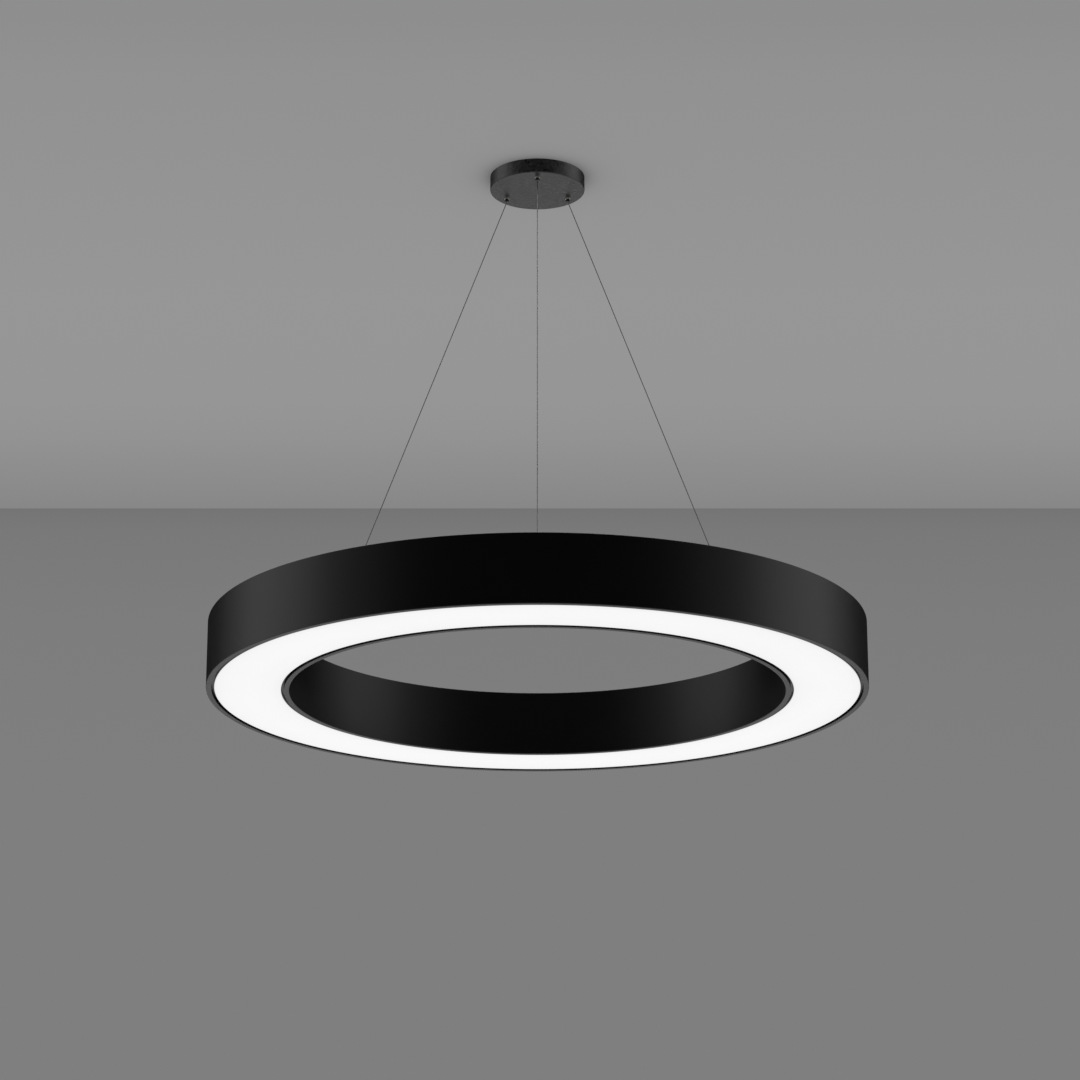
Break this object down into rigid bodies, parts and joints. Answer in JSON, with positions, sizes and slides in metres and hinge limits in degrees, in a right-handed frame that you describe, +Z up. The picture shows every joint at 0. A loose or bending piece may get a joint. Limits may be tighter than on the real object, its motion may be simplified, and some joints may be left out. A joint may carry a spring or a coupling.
{
  "type": "ring pendant light",
  "caption": "Hollow ring light with an opal underside, hung level from a small round canopy by thin wires through height-setting grips.",
  "frame": {"origin": "centre of the ceiling plate's top face, midway between its two screw slots", "axes": "+Z up into the ceiling, -Y towards the viewer of the picture and the nearest wire, +X to the right"},
  "size_m": [0.8, 0.8, 0.682],
  "materials": {
    "black_coat": "fine matt powder coat on steel",
    "black_aluminium": "fine matt black powder coat on rolled aluminium",
    "white_aluminium": "matt white paint",
    "board_aluminium": "white solder mask",
    "opal": "opal acrylic, lit",
    "nickel": "satin nickel plate",
    "brass": "plain brass",
    "zinc_steel": "zinc plate",
    "spring_steel": "spring steel",
    "ball_steel": "polished",
    "wire_steel": "stranded steel wire",
    "black_screw": "black oxide",
    "black_plastic": "moulded",
    "white_plastic": "moulded",
    "terminal_plastic": "moulded",
    "lead_sheath": "white sheath",
    "black_rubber": "moulded"
  },
  "bodies": {
    "canopy": {"ceiling_plate": "zinc_steel", "canopy_cover": "black_coat", "canopy_screws": "black_screw", "canopy_terminal": "terminal_plastic", "canopy_contacts": "brass", "earth_tag": "brass", "grip_barrels": "nickel", "grip_caps": "nickel", "grip_spring_1": "spring_steel", "grip_spring_2": "spring_steel", "grip_spring_3": "spring_steel", "wire_upper_ends": "wire_steel", "wire_stops": "nickel", "suspension_wire_1": "wire_steel", "suspension_wire_2": "wire_steel", "suspension_wire_3": "wire_steel"},
    "plunger_1": {"grip_plunger_1": "nickel", "grip_balls_1": "ball_steel"},
    "plunger_2": {"grip_plunger_2": "nickel", "grip_balls_2": "ball_steel"},
    "plunger_3": {"grip_plunger_3": "nickel", "grip_balls_3": "ball_steel"},
    "ring": {"wire_ball_ends": "ball_steel", "wire_anchors": "nickel", "spreader_plates": "zinc_steel", "anchor_nuts": "zinc_steel", "outer_band": "black_aluminium", "inner_band": "black_aluminium", "top_cover": "black_aluminium", "cover_screws": "black_screw", "inlet_bush": "black_plastic", "inlet_nut": "black_plastic", "led_tray": "white_aluminium", "tray_screws": "zinc_steel", "led_boards": "board_aluminium", "board_screws": "zinc_steel", "board_connectors": "white_plastic", "driver_cases": "white_plastic", "driver_covers": "white_plastic", "driver_screws": "zinc_steel", "ring_terminal": "terminal_plastic", "ring_contacts": "brass", "earth_stud": "brass", "internal_leads": "lead_sheath", "tray_grommets": "black_rubber", "diffuser_clips": "spring_steel"},
    "diffuser": {"diffuser": "opal"}
  },
  "joints": [
    {"name": "ring_height", "type": "slide", "parent": "canopy", "child": "ring", "axis": [0, 0, 1], "range_m": [0, 0.3], "deforming": ["suspension_wire_1", "suspension_wire_2", "suspension_wire_3"]},
    {"name": "grip_release_1", "type": "slide", "parent": "canopy", "child": "plunger_1", "axis": [0, 0, 1], "range_m": [0, 0.0012], "stiffness_N_per_m": 500, "springref_m": -0.002, "deforming": ["grip_spring_1"]},
    {"name": "grip_release_2", "type": "slide", "parent": "canopy", "child": "plunger_2", "axis": [0, 0, 1], "range_m": [0, 0.0012], "stiffness_N_per_m": 500, "springref_m": -0.002, "deforming": ["grip_spring_2"]},
    {"name": "grip_release_3", "type": "slide", "parent": "canopy", "child": "plunger_3", "axis": [0, 0, 1], "range_m": [0, 0.0012], "stiffness_N_per_m": 500, "springref_m": -0.002, "deforming": ["grip_spring_3"]},
    {"name": "diffuser_drop", "type": "slide", "parent": "ring", "child": "diffuser", "axis": [0, 0, -1], "range_m": [0, 0.06]}
  ]
}
